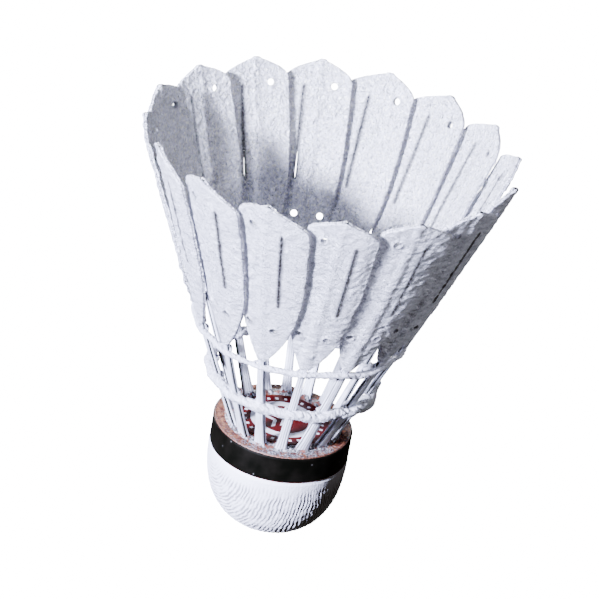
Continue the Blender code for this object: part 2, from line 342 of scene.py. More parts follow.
class Shader:
    """A new material. Its methods add nodes to it and return their outputs."""

    def __init__(self, name):
        self.material = bpy.data.materials.new(name)
        self.material.use_nodes = True
        self.tree = self.material.node_tree

    def feed(self, socket, value):
        """Gives an input a value, or links it to another node's output."""
        if isinstance(value, bpy.types.NodeSocket):
            self.tree.links.new(value, socket)
        elif socket.type == "RGBA":
            socket.default_value = (*value, 1.0)
        else:
            socket.default_value = value

    def node(self, kind, inputs=None, **settings):
        node = self.tree.nodes.new(kind)
        for key, value in settings.items():
            setattr(node, key, value)
        for key, value in (inputs or {}).items():
            self.feed(node.inputs[key], value)
        return node

    def math(self, operation, first, second=0.0):
        return self.node("ShaderNodeMath", {0: first, 1: second}, operation=operation).outputs[0]

    def noise(self, where, scale, detail=3.0, roughness=0.5, distortion=0.0):
        inputs = {"Vector": where, "Scale": scale, "Detail": detail, "Roughness": roughness,
                  "Distortion": distortion}
        return self.node("ShaderNodeTexNoise", inputs).outputs["Fac"]

    def ridged(self, where, scale, detail=4.0, roughness=0.5):
        inputs = {"Vector": where, "Scale": scale, "Detail": detail, "Roughness": roughness}
        node = self.node("ShaderNodeTexNoise", inputs, noise_type="RIDGED_MULTIFRACTAL")
        return node.outputs["Fac"]

    def cells(self, where, scale, feature="F1"):
        return self.node("ShaderNodeTexVoronoi", {"Vector": where, "Scale": scale}, feature=feature)

    def ramp(self, factor, *stops):
        """A colour ramp. Each stop is a position and a colour, or a position and a grey."""
        node = self.node("ShaderNodeValToRGB", {"Fac": factor})
        elements = node.color_ramp.elements
        while len(elements) < len(stops):
            elements.new(0.5)
        for element, (position, colour) in zip(elements, stops):
            element.position = position
            element.color = (*colour, 1.0) if isinstance(colour, tuple) else (colour,) * 3 + (1.0,)
        return node.outputs["Color"]

    def mix(self, factor, first, second, **settings):
        inputs = {"Factor": factor, 6: first, 7: second}
        return self.node("ShaderNodeMix", inputs, data_type="RGBA", **settings).outputs[2]

    def multiply(self, first, second):
        """A colour darkened by another."""
        return self.mix(1.0, first, second, blend_type="MULTIPLY")

    def span(self, value, low, high, to_low=0.0, to_high=1.0, **settings):
        """A value's range stretched onto another range."""
        inputs = {"Value": value, "From Min": low, "From Max": high, "To Min": to_low,
                  "To Max": to_high}
        return self.node("ShaderNodeMapRange", inputs, **settings).outputs["Result"]

    def bump(self, height, distance_mm, strength=1.0, below=None):
        inputs = {"Height": height, "Distance": distance_mm * MM, "Strength": strength}
        if below is not None:
            inputs["Normal"] = below
        return self.node("ShaderNodeBump", inputs).outputs["Normal"]

    def bumps(self, *layers):
        """Bumps laid one on another. Each layer is a height, a distance in mm and a strength."""
        normal = None
        for layer in layers:
            normal = self.bump(*layer, normal)
        return normal

    def millimetres(self):
        """Places on the object, in millimetres."""
        where = self.node("ShaderNodeTexCoord").outputs["Object"]
        inputs = {0: where, "Scale": 1.0 / MM}
        return self.node("ShaderNodeVectorMath", inputs, operation="SCALE").outputs[0]

    def pattern(self):
        return self.node("ShaderNodeAttribute", attribute_name="pattern").outputs["Vector"]

    def flat(self, across=1.0, along=1.0):
        """Places on a piece's flat pattern, in millimetres, stretched as asked."""
        inputs = {0: self.pattern(), 1: (across, along, 1.0)}
        return self.node("ShaderNodeVectorMath", inputs, operation="MULTIPLY").outputs[0]

    def axis(self, vector, axis):
        return self.node("ShaderNodeSeparateXYZ", {"Vector": vector}).outputs[axis]

    def finish(self, colour, roughness, normal=None, **extra):
        """Gives the material's surface its values, and returns the material."""
        values = {"Base Color": colour, "Roughness": roughness, "Normal": normal, **extra}
        for key, value in values.items():
            if value is not None:
                self.feed(self.tree.nodes["Principled BSDF"].inputs[key], value)
        return self.material


def foam_shader(s, colour, roughness, normal, cut_shade_colour):
    """The foam's surface, its cut walls painted dark as the shade deep in the cuts, with light
    coming through it. The pattern's third value is how deep in a cut a place is: 1 on a slot's
    wall, less in a hole, 0 elsewhere."""
    # Painted shade: the cut walls are coloured dark, broken up by noise.
    fray = s.ramp(s.noise(s.flat(), 2.2, 2.0), (0.36, 0.70), (0.48, 1.0))
    cut = s.math("MULTIPLY", s.axis(s.pattern(), "Z"), fray)
    s.finish(s.mix(cut, colour, cut_shade_colour), roughness, normal)
    shadow_ray = s.node("ShaderNodeLightPath").outputs["Is Shadow Ray"]
    passed = s.node("ShaderNodeBsdfTransparent", {"Color": LIGHT_PASSED}).outputs[0]
    surface = s.tree.nodes["Principled BSDF"].outputs[0]
    mixed = s.node("ShaderNodeMixShader", {0: shadow_ray, 1: surface, 2: passed}).outputs[0]
    s.feed(s.tree.nodes["Material Output"].inputs["Surface"], mixed)
    return s.material


def middle_ridge(s):
    """1 on the line over the stalk, falling to 0 on either side of it."""
    half = FEATHER_PITCH / 2
    across = {0: s.axis(s.pattern(), "X"), 1: half, 2: -half}
    across = s.node("ShaderNodeMath", across, operation="WRAP").outputs[0]
    across = s.math("ABSOLUTE", across)
    return s.span(across, 0.10, 0.50, 1.0, 0.0, interpolation_type="SMOOTHSTEP")


def outer_foam_material():
    """Foam with a crinkled skin: short creases that mostly run across the vane. Its colour holds
    painted shade in the crinkles' troughs and the grain's pits, and painted glints.
    """
    s = Shader("outer_foam")
    place = s.flat()
    creases = s.ridged(s.flat(0.6), 0.6, 3.0, 0.6)
    skin = s.noise(s.flat(0.7), 1.3, 4.0, 0.65, 1.2)
    grain = s.noise(place, 3.0, 3.0, 0.7)
    crinkles = s.noise(s.flat(0.42), 0.95, 4.0, 0.68, 0.9)
    cloud = s.noise(place, 0.16, 3.0)
    colour = s.ramp(cloud, (0.3, (0.60, 0.605, 0.70)), (0.7, (0.68, 0.685, 0.78)))
    # Painted shade: darker colour in the crinkles' troughs.
    crinkle_shade = s.ramp(crinkles, (0.38, (0.42, 0.425, 0.505)), (0.45, (0.54, 0.545, 0.635)))
    colour = s.mix(s.ramp(crinkles, (0.40, 0.0), (0.52, 1.0)), crinkle_shade, colour)
    # Painted shade in the pits: darker where the grain's bump sinks.
    pores = s.ramp(grain, (0.36, 0.86), (0.46, 0.96), (0.56, 1.0))
    colour = s.multiply(colour, pores)
    # Painted glints: bright flecks mixed into the colour.
    painted_glints = s.noise(s.flat(0.45, 1.3), 1.9, 3.0, 0.65, 0.6)
    painted_glints = s.ramp(painted_glints, (0.60, 0.0), (0.67, 0.75))
    colour = s.mix(painted_glints, colour, (0.93, 0.935, 1.0))
    normal = s.bumps((middle_ridge(s), 0.24, 1.0), (creases, 0.9, 1.0), (crinkles, 0.7, 1.0),
                     (skin, 1.6, 1.0), (grain, 0.26, 1.0))
    roughness = s.ramp(skin, (0.3, 0.32), (0.7, 0.6))
    # The near-black is painted shade for the deep cuts in the outer sheet.
    return foam_shader(s, colour, roughness, normal, (0.018, 0.015, 0.013))


def inner_foam_material():
    """Foam with a hammered skin that glitters, partly by painted glints, raised over the stalk."""
    s = Shader("inner_foam")
    place = s.flat()
    cells = s.cells(place, 1.6, "SMOOTH_F1").outputs["Distance"]
    streaks = s.noise(s.flat(1.0, 0.6), 1.4, 4.0, 0.65, 1.0)
    fine = s.noise(place, 2.3, 3.0, 0.7)
    flecks = s.noise(s.flat(1.0, 0.8), 2.0, 2.0, 0.6, 0.4)
    colour = s.ramp(fine, (0.38, (0.62, 0.625, 0.70)), (0.5, (0.72, 0.725, 0.81)),
                    (0.62, (0.80, 0.805, 0.89)))
    # Painted shade: darker where the streaks' bump sinks, in the hollows.
    hollow_shade = s.ramp(streaks, (0.40, 0.78), (0.47, 0.92), (0.54, 1.0))
    # Painted glints: white flecks in the colour, on facets that are also bumped and smoother.
    facets_and_painted_glints = s.ramp(flecks, (0.53, 0.0), (0.59, 1.0))
    colour = s.mix(facets_and_painted_glints, s.multiply(colour, hollow_shade), (1.0, 1.0, 1.0))
    normal = s.bumps((middle_ridge(s), 0.50, 1.0), (streaks, 2.3, 1.0), (cells, 1.0, 1.0),
                     (fine, 0.26, 1.0), (facets_and_painted_glints, 0.16, 1.0))
    roughness = s.ramp(flecks, (0.50, 0.46), (0.58, 0.16))
    # The dark grey is painted shade for the cuts in the inner sheet.
    return foam_shader(s, colour, roughness, normal, (0.13, 0.13, 0.14))


def bands(s, axis, **inputs):
    """Fine bands across a stalk (axis X) or along it (axis Y)."""
    inputs = {name.replace("_", " "): value for name, value in inputs.items()}
    inputs["Vector"] = s.flat()
    return s.node("ShaderNodeTexWave", inputs, bands_direction=axis).outputs["Fac"]


def stalk_face_material():
    """The stalk's white faces, with the faint grid of glass fibres in them and chipped spots."""
    s = Shader("stalk_white_face")
    fibres = s.noise(s.flat(7.0, 0.25), 1.0, 3.0, 0.6)
    across = bands(s, "X", Scale=0.85, Distortion=0.6, Detail=1.0, Detail_Scale=1.5)
    along = bands(s, "Y", Scale=0.8, Distortion=0.3)
    chips = s.noise(s.flat(), 2.6, 4.0, 0.7)
    colour = s.ramp(fibres, (0.35, (0.36, 0.37, 0.44)), (0.62, (0.60, 0.61, 0.71)))
    colour = s.mix(s.ramp(chips, (0.62, 0.0), (0.70, 0.7)), colour, (0.34, 0.33, 0.35))
    normal = s.bumps((across, 0.09, 0.9), (along, 0.05, 0.6), (chips, 0.10, 0.9),
                     (fibres, 0.05, 0.9))
    return s.finish(colour, 0.42, normal)


def stalk_core_material():
    s = Shader("stalk_black_core")
    grain = s.noise(s.flat(5.0, 0.5), 1.2, 4.0, 0.6)
    colour = s.ramp(grain, (0.35, (0.006, 0.006, 0.005)), (0.75, (0.022, 0.020, 0.017)))
    return s.finish(colour, 0.5, s.bump(grain, 0.05, 0.8))


def cotton_material():
    """Twisted cotton, stiff with dried glue. The pattern's first value runs along the strand, and
    its third is how deep in the groove between two plies a place is."""
    s = Shader("glued_cotton")
    fibres = s.noise(s.flat(1.2, 5.0), 1.6, 4.0, 0.65, 0.5)
    glue = s.noise(s.millimetres(), 0.55, 3.0)
    colour = s.ramp(fibres, (0.36, (0.22, 0.225, 0.265)), (0.58, (0.50, 0.505, 0.59)))
    shadow = s.ramp(s.axis(s.pattern(), "Z"), (0.5, 0.0), (1.0, 0.5))
    colour = s.mix(shadow, colour, (0.36, 0.35, 0.38))
    roughness = s.ramp(glue, (0.4, 0.34), (0.6, 0.66))
    lumps = s.noise(s.millimetres(), 1.3, 3.0, 0.6)
    return s.finish(colour, roughness, s.bumps((lumps, 0.45, 0.9), (fibres, 0.16, 0.9)))


def leather_material():
    """White leather, stained where its edge was cut. The pattern's first value is how deep in a
    wrinkle a place is."""
    s = Shader("white_leather")
    place = s.millimetres()
    pores = s.noise(place, 3.2, 3.0, 0.6)
    cloud = s.noise(place, 0.22, 3.0)
    colour = s.ramp(cloud, (0.3, (0.58, 0.58, 0.665)), (0.7, (0.64, 0.64, 0.72)))
    shadow = s.ramp(s.axis(s.pattern(), "X"), (0.12, 0.0), (0.80, 0.80))
    colour = s.mix(shadow, colour, (0.14, 0.135, 0.155))
    height = s.axis(place, "Z")
    cut_edge = s.span(height, CORK_TOP - 0.45, CORK_TOP - 0.35)
    stain = s.ramp(pores, (0.40, (0.030, 0.012, 0.009)), (0.58, (0.15, 0.055, 0.035)))
    colour = s.mix(cut_edge, colour, stain)
    return s.finish(colour, 0.48, s.bump(pores, 0.12, 0.9))


def glue_dust_and_shade(s, place, crumbs):
    """Grey glue smeared over the cork, most of it towards the front and thinned at the back as
    painted shade there: its amount and colour.
    """
    # Painted shade: less glue towards the back, so the back of the top face is darker.
    painted_shade_to_back = s.span(s.axis(place, "Y"), -12.4, 2.0, 0.13, -0.16)
    fine = s.noise(place, 2.4, 4.0, 0.7)
    broad = s.noise(place, 0.4, 2.0)
    amount = s.math("ADD", s.math("ADD", fine, painted_shade_to_back), s.math("MULTIPLY", broad, 0.5))
    amount = s.ramp(amount, (0.80, 0.0), (0.88, 1.0))
    dust = s.ramp(crumbs, (0.42, (0.016, 0.014, 0.015)), (0.49, (0.075, 0.072, 0.085)),
                  (0.57, (0.25, 0.25, 0.29)))
    return amount, dust


def cork_material(name, granule_size, dark, light, dusty_and_shaded=False):
    """Granules of cork, each in its own brown, with dark gaps between them."""
    s = Shader(name)
    place = s.millimetres()
    warp = s.node("ShaderNodeTexNoise", {"Vector": place, "Scale": 1.4, "Detail": 2.0})
    warp = s.node("ShaderNodeVectorMath", {0: warp.outputs["Color"], 1: (0.7, 0.7, 0.7)},
                  operation="MULTIPLY")
    warped = s.node("ShaderNodeVectorMath", {0: place, 1: warp.outputs[0]},
                    operation="ADD").outputs[0]
    granules = s.cells(warped, 1.0 / granule_size).outputs["Color"]
    edges = s.cells(warped, 1.0 / granule_size, "DISTANCE_TO_EDGE").outputs["Distance"]
    pick = s.node("ShaderNodeSeparateColor", {"Color": granules}).outputs[0]
    gaps = s.ramp(edges, (0.0, 0.45), (0.12, 1.0))
    colour = s.multiply(s.ramp(pick, (0.1, dark), (0.8, light)), gaps)
    crumbs = s.noise(place, 2.6, 4.0, 0.75)
    if dusty_and_shaded:
        amount, dust = glue_dust_and_shade(s, place, crumbs)
        colour = s.mix(amount, colour, dust)
    return s.finish(colour, 0.72, s.bump(crumbs, 0.34, 1.0), **{"Specular IOR Level": 0.25})


def band_material():
    """Dull black tape with a few specks of dust."""
    s = Shader("black_tape")
    place = s.millimetres()
    cloud = s.noise(place, 0.35, 3.0)
    specks = s.cells(place, 0.42).outputs["Distance"]
    fine = s.noise(place, 5.0, 3.0, 0.6)
    colour = s.ramp(cloud, (0.35, (0.0008, 0.0008, 0.0005)), (0.75, (0.0024, 0.0019, 0.0014)))
    dust = s.ramp(specks, (0.04, 0.6), (0.075, 0.0))
    colour = s.mix(dust, colour, (0.10, 0.10, 0.10))
    roughness = s.ramp(cloud, (0.35, 0.42), (0.7, 0.58))
    return s.finish(colour, roughness, s.bump(fine, 0.02, 0.5), **{"Specular IOR Level": 0.06})


def band_edge_material():
    s = Shader("red_tape_edge")
    grain = s.noise(s.millimetres(), 4.0)
    colour = s.ramp(grain, (0.3, (0.20, 0.05, 0.03)), (0.7, (0.34, 0.10, 0.07)))
    return s.finish(colour, 0.6, s.bump(grain, 0.02))


def label_material(name, dark, light, roughness, metallic=0.0):
    s = Shader(name)
    place = s.millimetres()
    fine = s.noise(place, 4.0, 3.0)
    cloud = s.noise(place, 0.4, 2.0)
    colour = s.ramp(cloud, (0.35, dark), (0.65, light))
    return s.finish(colour, roughness, s.bump(fine, 0.012, 0.5), Metallic=metallic,
                    **{"Specular IOR Level": 0.06})


def glue_material():
    """Crumbly glue, mixed with dust and grains of cork."""
    s = Shader("dried_glue")
    place = s.millimetres()
    crumbs = s.noise(place, 2.2, 4.0, 0.75)
    grains = s.noise(place, 1.1, 3.0, 0.6)
    colour = s.ramp(crumbs, (0.42, (0.012, 0.011, 0.011)), (0.49, (0.10, 0.095, 0.105)),
                    (0.57, (0.42, 0.43, 0.49)))
    brown = s.ramp(grains, (0.54, 0.0), (0.60, 1.0))
    colour = s.mix(brown, colour, (0.14, 0.035, 0.02))
    return s.finish(colour, 0.5, s.bump(crumbs, 0.30, 1.0))


def thread_glue_material():
    s = Shader("white_glue")
    swirl = s.noise(s.millimetres(), 0.9, 4.0, 0.6, 0.8)
    colour = s.ramp(swirl, (0.35, (0.30, 0.305, 0.345)), (0.65, (0.54, 0.55, 0.61)))
    return s.finish(colour, 0.26, s.bump(swirl, 0.12, 0.7))


# --- feather frames

def node_points(name):
    """A CAD node's separate corner points, in millimetres."""
    points = np.array([vert.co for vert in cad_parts[name].data.vertices]) / MM
    return np.unique(points.round(4), axis=0)


def feather_frame(index):
    """A feather's axes as the columns of a matrix, the middle of its stalk's low end, and its
    stalk's length."""
    points = node_points(f"stalk_{index + 1:02d}")
    points = points[np.argsort(points[:, 2])]
    low, high = points[:4], points[-4:]
    edges = low[1:] - low[0]
    edges = edges[np.argsort(np.linalg.norm(edges, axis=1))]
    depth, width = edges[0], edges[1]
    centre = low.mean(axis=0)
    radial = centre * LEVEL
    inwards = depth / np.linalg.norm(depth) * -np.sign(depth @ radial)
    across = width / np.linalg.norm(width)
    across *= np.sign(np.cross(radial, across)[2])
    along = np.cross(across, inwards)
    along /= np.linalg.norm(along)
    inwards = np.cross(along, across)
    reach = (high.mean(axis=0) - centre) @ along
    return np.column_stack((across, inwards, along)), centre, reach


def stalk_size(index):
    """Half the stalk's width and half its thickness, at its low end and at its top."""
    axes, _, _ = feather_frame(index)
    points = node_points(f"stalk_{index + 1:02d}") @ axes
    order = np.argsort(points[:, 2])
    return [np.ptp(points[order[part], :2], axis=0) / 2 for part in (slice(4), slice(-4, None))]


CORK_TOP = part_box("cork_collar")[1].z / MM
_, _, REACH = feather_frame(0)
LOW_SIZE, HIGH_SIZE = stalk_size(0)
VANE_TOP = REACH - SOCKET_DEPTH + 0.3


def stalk_bow(place):
    share = place / VANE_TOP
    return 4.0 * STALK_BOW * share * (1.0 - share)


def foot_point(low_end, axes):
    """A feather's origin: its line's place at the cork's top, without the bow."""
    return low_end + axes[:, 2] * SOCKET_DEPTH + axes[:, 1] * stalk_bow(-SOCKET_DEPTH)


def stalk_half(place, axis):
    """Half the stalk's width (axis 0) or thickness (axis 1) at a place along it."""
    share = np.clip((place + SOCKET_DEPTH) / REACH, 0.0, 1.0)
    return LOW_SIZE[axis] + (HIGH_SIZE[axis] - LOW_SIZE[axis]) * share


# --- vanes

Pattern = namedtuple("Pattern", "points triangles to_edge to_cuts to_slot")


def vane_edge(place, full_width, top_width, roof_power):
    """Widens quickly above the pointed foot, then closes like a roof above the shoulder."""
    rise = (np.minimum(place, VANE_SHOULDER) - VANE_BOTTOM) / (VANE_SHOULDER - VANE_BOTTOM)
    spread = 1.0 - (1.0 - rise) ** VANE_FOOT_POWER
    width = VANE_FOOT_HALF_WIDTH + (full_width - VANE_FOOT_HALF_WIDTH) * spread
    drop = np.maximum((place - VANE_SHOULDER) / (VANE_TOP - VANE_SHOULDER), 0.0)
    return np.maximum(width * (1.0 - drop ** roof_power), top_width)


def vane_outline():
    """The vane's edge, with its corners rounded by averaging over a short reach."""
    places = np.linspace(VANE_BOTTOM, VANE_TOP, 160)
    right = vane_edge(places, VANE_RIGHT_WIDTH, RIGHT_TOP_WIDTH, RIGHT_ROOF_POWER)
    left = -vane_edge(places, VANE_LEFT_WIDTH, LEFT_TOP_WIDTH, LEFT_ROOF_POWER)
    right, left = np.column_stack((right, places)), np.column_stack((left, places))
    fine = resampled(np.vstack((right, left[::-1])), FINE_SPACING)
    half = round(VANE_CORNER_REACH / FINE_SPACING / 2)
    return resampled(rolling_mean(fine, half), OUTLINE_SPACING)


def slot_outline():
    turn = np.linspace(0.0, math.pi, 7)
    top = np.column_stack((np.cos(turn), np.sin(turn))) * SLOT_HALF_WIDTH
    low = -top
    top += (SLOT_OFFSET, SLOT_TOP - SLOT_HALF_WIDTH)
    low += (SLOT_OFFSET, SLOT_BOTTOM + SLOT_HALF_WIDTH)
    sides = np.linspace(SLOT_TOP, SLOT_BOTTOM, 46)[2:-2]
    left = np.column_stack((np.full(len(sides), SLOT_OFFSET - SLOT_HALF_WIDTH), sides))
    right = np.column_stack((np.full(len(sides), SLOT_OFFSET + SLOT_HALF_WIDTH), sides[::-1]))
    return np.vstack((top, left, low, right))


def distance_to(points, loop):
    """Each point's distance to a closed line."""
    start, end = loop, np.roll(loop, -1, axis=0)
    line = end - start
    offset = points[:, None, :] - start
    share = np.clip((offset * line).sum(-1) / (line * line).sum(-1), 0.0, 1.0)
    return np.linalg.norm(offset - share[..., None] * line, axis=-1).min(axis=1)


def inside(points, loop):
    """Which points lie inside a closed line, by counting its crossings."""
    x, y = points[:, 0, None], points[:, 1, None]
    ax, ay = loop[:, 0], loop[:, 1]
    bx, by = np.roll(ax, -1), np.roll(ay, -1)
    crosses = (ay > y) != (by > y)
    at = ax + (y - ay) / np.where(by == ay, 1.0, by - ay) * (bx - ax)
    return (crosses & (x < at)).sum(axis=1) % 2 == 1


def offset_loop(loop, distance):
    """A closed line moved sideways, to its left for a positive distance."""
    ahead = unit_rows(np.roll(loop, -1, axis=0) - np.roll(loop, 1, axis=0))
    return loop + np.column_stack((-ahead[:, 1], ahead[:, 0])) * distance


def triangulated(loops, loose):
    """Triangles over the loops' points and the loose ones. The loops stay as edges."""
    points, edges = [], []
    for loop in loops:
        first = len(points)
        points += loop.tolist()
        edges += [(first + i, first + (i + 1) % len(loop)) for i in range(len(loop))]
    points += loose.tolist()
    result = delaunay_2d_cdt([Vector(p) for p in points], edges, [], 0, 1e-6)
    return np.array([tuple(p) for p in result[0]]), np.array(result[2])


def anticlockwise(points, triangles):
    """The triangles with their corners in anticlockwise order."""
    corner = points[triangles]
    area = np.cross(corner[:, 1] - corner[:, 0], corner[:, 2] - corner[:, 0])
    triangles[area < 0] = triangles[area < 0][:, ::-1]
    return triangles


def loose_points(outline, cuts):
    """Evenly spaced points over the vane, clear of its edge and its cuts."""
    rows = np.arange(VANE_BOTTOM, VANE_TOP, PATTERN_SPACING * ROW_SHARE)
    columns = np.arange(-PATTERN_REACH, PATTERN_REACH, PATTERN_SPACING)
    grid = np.array([(x + PATTERN_SPACING * 0.5 * (row % 2), y) for row, y in enumerate(rows)
                     for x in columns])
    clear = inside(grid, outline)
    clear &= distance_to(grid, outline) > EDGE_ROUNDING * CLEAR_OF_EDGE
    for cut in cuts:
        clear &= ~inside(grid, cut) & (distance_to(grid, cut) > CUT_ROUNDING * CLEAR_OF_CUTS)
    return grid[clear]


def vane_pattern():
    """The flat pattern: its points and triangles, and each point's distance to the nearest edge
    of any kind, to the nearest cut, and to the slot."""
    outline = vane_outline()
    cuts = [slot_outline()] + [circle(hole, HOLE_RADIUS, 22) for hole in HOLES]
    loops = [outline] + cuts
    for step in EDGE_LOOPS:
        loops.append(offset_loop(outline, EDGE_ROUNDING * step))
        loops += [offset_loop(cut, -CUT_ROUNDING * step) for cut in cuts]
    loops += [offset_loop(cut, -CUT_ROUNDING * OUTER_CUT_LOOP) for cut in cuts]
    points, triangles = triangulated(loops, loose_points(outline, cuts))
    middles = points[triangles].mean(axis=1)
    keep = inside(middles, outline)
    for cut in cuts:
        keep &= ~inside(middles, cut)
    triangles = triangles[keep]
    used = np.unique(triangles)
    renumber = np.full(len(points), -1)
    renumber[used] = np.arange(len(used))
    points, triangles = points[used], renumber[triangles]
    to_cuts = np.min([distance_to(points, cut) for cut in cuts], axis=0)
    to_edge = np.minimum(distance_to(points, outline), to_cuts)
    return Pattern(points, anticlockwise(points, triangles), to_edge, to_cuts,
                   distance_to(points, cuts[0]))


def bond_depth(pattern, rng):
    """How far inwards the bond between the sheets lies. It is tilted, bowed, curved and wavy."""
    across, place = pattern.points.T
    rise = np.clip((place - VANE_BOTTOM) / (VANE_SHOULDER - VANE_BOTTOM), 0.0, 1.0)
    tilt = np.tan(WING_TILT_LOW + (WING_TILT_TOP - WING_TILT_LOW) * rise)
    radius = np.where(across > 0.0, RIGHT_CURVE_RADIUS, LEFT_CURVE_RADIUS)
    radius = radius * (FOOT_CURVE_SHARE + (1.0 - FOOT_CURVE_SHARE) * rise)
    depth = -tilt * across - stalk_bow(place) + across ** 2 / (2.0 * radius)
    broad = wave_field(rng, 9.0, 22.0, 10)
    narrow = wave_field(rng, 3.0, 7.0, 12)
    off_stalk = smoothstep((np.abs(across) - 1.2) / 4.0)
    depth += BROAD_WAVE * broad(pattern.points) * off_stalk * (0.4 + 0.6 * rise)
    near_edge = smoothstep(1.0 - pattern.to_edge / 2.5)
    return depth + EDGE_WAVE * narrow(pattern.points) * off_stalk * near_edge


def ridge_lift(points):
    """How far the stalk holds each sheet off the bond."""
    across, place = points.T
    half_width = stalk_half(place, 0) - 0.05
    over_stalk = smoothstep(1.0 - (np.abs(across) - half_width) / RIDGE_SLOPE)
    return RIDGE_SHARE * stalk_half(place, 1) * over_stalk


def skin_relief(pattern, side, rng):
    """The relief of an open face: creases outside or dimples inside, and lips round the cuts."""
    points = pattern.points
    to_hole = np.min([np.hypot(*(points - hole).T) for hole in HOLES], axis=0) - HOLE_RADIUS
    lip = bell(pattern.to_cuts - 0.30, 0.16)
    hole_lip = bell(to_hole - 0.10, 0.24)
    if side < 0:
        creases = wave_field(rng, 1.4, 3.6, 34, stretch=1.6)(points)
        folds = wave_field(rng, 2.0, 5.0, 18, stretch=1.6)(points)
        relief = CREASE_HEIGHT * creases - FOLD_DEPTH * bell(folds, FOLD_WIDTH)
        return relief + OUTER_LIP * lip + HOLE_LIP * hole_lip
    dimples = wave_field(rng, 0.9, 2.2, 40)(points)
    return DIMPLE_HEIGHT * dimples + INNER_LIP * lip + INNER_HOLE_LIP * hole_lip


def slot_shift(pattern, side, index):
    """How far across the foam beside the slot is moved. A gaping slot opens to both sides low
    down. Elsewhere the inner sheet's slot is moved off the outer one's."""
    across, place = pattern.points.T
    by_slot = bell(pattern.to_slot, 0.35)
    gape = SLOT_GAPES.get(index, 0.0)
    ends = smoothstep((place - SLOT_BOTTOM) / 1.0) * smoothstep((SLOT_GAPE_TOP - place) / 5.0)
    shift = np.sign(across - SLOT_OFFSET) * gape * by_slot * ends
    if side > 0:
        above = smoothstep((place - SLOT_GAPE_TOP + 2.5) / 2.0) if gape else 1.0
        shift += INNER_SLOT_SHIFT * by_slot * above
    return shift


def plug_pull(points, index):
    """How far the foam is drawn in over the holes that a vane lacks."""
    pull = np.zeros_like(points)
    for number in PLUGGED_HOLES.get(index, ()):
        offset = points - HOLES[number]
        reach = np.hypot(*offset.T)
        share = (HOLE_RADIUS - PLUG_RADIUS) * smoothstep((2.2 - reach) / 1.6)
        pull -= offset * (share / np.maximum(reach, 0.1))[:, None]
    return pull


def vane_surface(pattern, side, index, rng_shape, rng_skin):
    """Points of one foam sheet in its feather's frame: the bonded face, then the open face."""
    points, to_edge, to_cuts = pattern.points, pattern.to_edge, pattern.to_cuts
    near = bond_depth(pattern, rng_shape) + side * (ridge_lift(points) + SHEET_GAP)
    rounding = np.where(to_cuts < 0.6, CUT_ROUNDING, EDGE_ROUNDING)
    inset = np.clip(1.0 - to_edge / rounding, 0.0, 1.0)
    thickness = FOAM_THICKNESS * np.sqrt(np.maximum(1.0 - inset ** 2, 0.0))
    relief = skin_relief(pattern, side, rng_skin)
    far = near + side * (thickness + relief * (1.0 - inset))

    rag = wave_field(rng_skin, 0.7, 1.6, 20)
    raggedness = RAGGEDNESS * smoothstep(1.0 - to_edge / 0.5) * smoothstep(to_cuts / 0.8)
    trim = WING_TRIMS.get(index, 0.0) * smoothstep((points[:, 0] - 3.2) / 4.0)
    pull = plug_pull(points, index)
    across = points[:, 0] * (1.0 - trim) + raggedness * rag(points)
    across += slot_shift(pattern, side, index) + pull[:, 0]
    along = points[:, 1] + raggedness * rag(points[:, ::-1]) + pull[:, 1]
    return np.column_stack((across, near, along)), np.column_stack((across, far, along))


def closed_sheet(pattern, near, far, side):
    """A closed solid from the two faces of a sheet, which share their boundary points."""
    count = len(pattern.points)
    on_edge = pattern.to_edge < 1e-4
    upper = np.arange(count) + count
    upper[on_edge] = np.arange(count)[on_edge]
    outside = pattern.triangles if side > 0 else pattern.triangles[:, ::-1]
    faces = np.vstack((outside, upper[outside][:, ::-1]))
    every = np.vstack((near, far))
    used = np.unique(faces)
    renumber = np.zeros(len(every), int)
    renumber[used] = np.arange(len(used))
    # Painted shade: how dark the slot's and the holes' walls are coloured, for the shade in the cuts.
    slot_shade = 1.0 - smoothstep((pattern.to_slot - 0.17) / 0.12)
    hole_shade = HOLE_PAINTED_SHADE * (1.0 - smoothstep((pattern.to_cuts - 0.04) / 0.14))
    flat = np.column_stack((pattern.points, np.maximum(slot_shade, hole_shade)))
    return every[used], renumber[faces].tolist(), np.vstack((flat, flat))[used]


def add_vanes(index, pattern, origin, axes, materials):
    skins = (("outer_foam", -1.0, "outer_vane"), ("inner_foam", 1.0, "inner_vane"))
    for number, (name, side, node) in enumerate(skins):
        rng_shape = np.random.default_rng(SEED + index)
        rng_skin = np.random.default_rng(SEED + 100 * (number + 1) + index)
        near, far = vane_surface(pattern, side, index, rng_shape, rng_skin)
        points, faces, uv = closed_sheet(pattern, near, far, side)
        make_object(f"{name}_{index + 1:02d}", points @ axes.T + origin, faces, materials[number],
                    (f"{node}_{index + 1:02d}",), uv + (FEATHER_PITCH * index, 0.0, 0.0))


# --- stalks

def stalk_ring(place):
    """The stalk's section at a place: white, black and white layers, as (across, inwards)."""
    wide, deep = stalk_half(place, 0), stalk_half(place, 1)
    face = wide - CORE_STANDS_PROUD * wide / LOW_SIZE[0]
    core_out = -deep + OUTER_LAYER * 2 * deep
    core_in = deep - INNER_LAYER * 2 * deep
    soft = STALK_CORNER * wide / LOW_SIZE[0]
    right = [(face - soft, -deep), (face, -deep + soft), (face, core_out),
             (wide - soft / 2, core_out), (wide, core_out + soft / 2), (wide, core_in - soft / 2),
             (wide - soft / 2, core_in), (face, core_in), (face, deep - soft), (face - soft, deep)]
    left = [(-x, y) for x, y in reversed(right)]
    return right + [(0.0, deep)] + left + [(0.0, -deep)]


def stalk_flare(place):
    """How many times as wide the stalk is at a place as it would be without its flared foot."""
    if place <= -1.0:
        return 1.0
    above = max(place, 0.0)
    steep = FOOT_FLARE * math.exp(-above / FOOT_FLARE_REACH)
    return 1.0 + steep + LOW_FLARE * bell(above, LOW_FLARE_REACH)


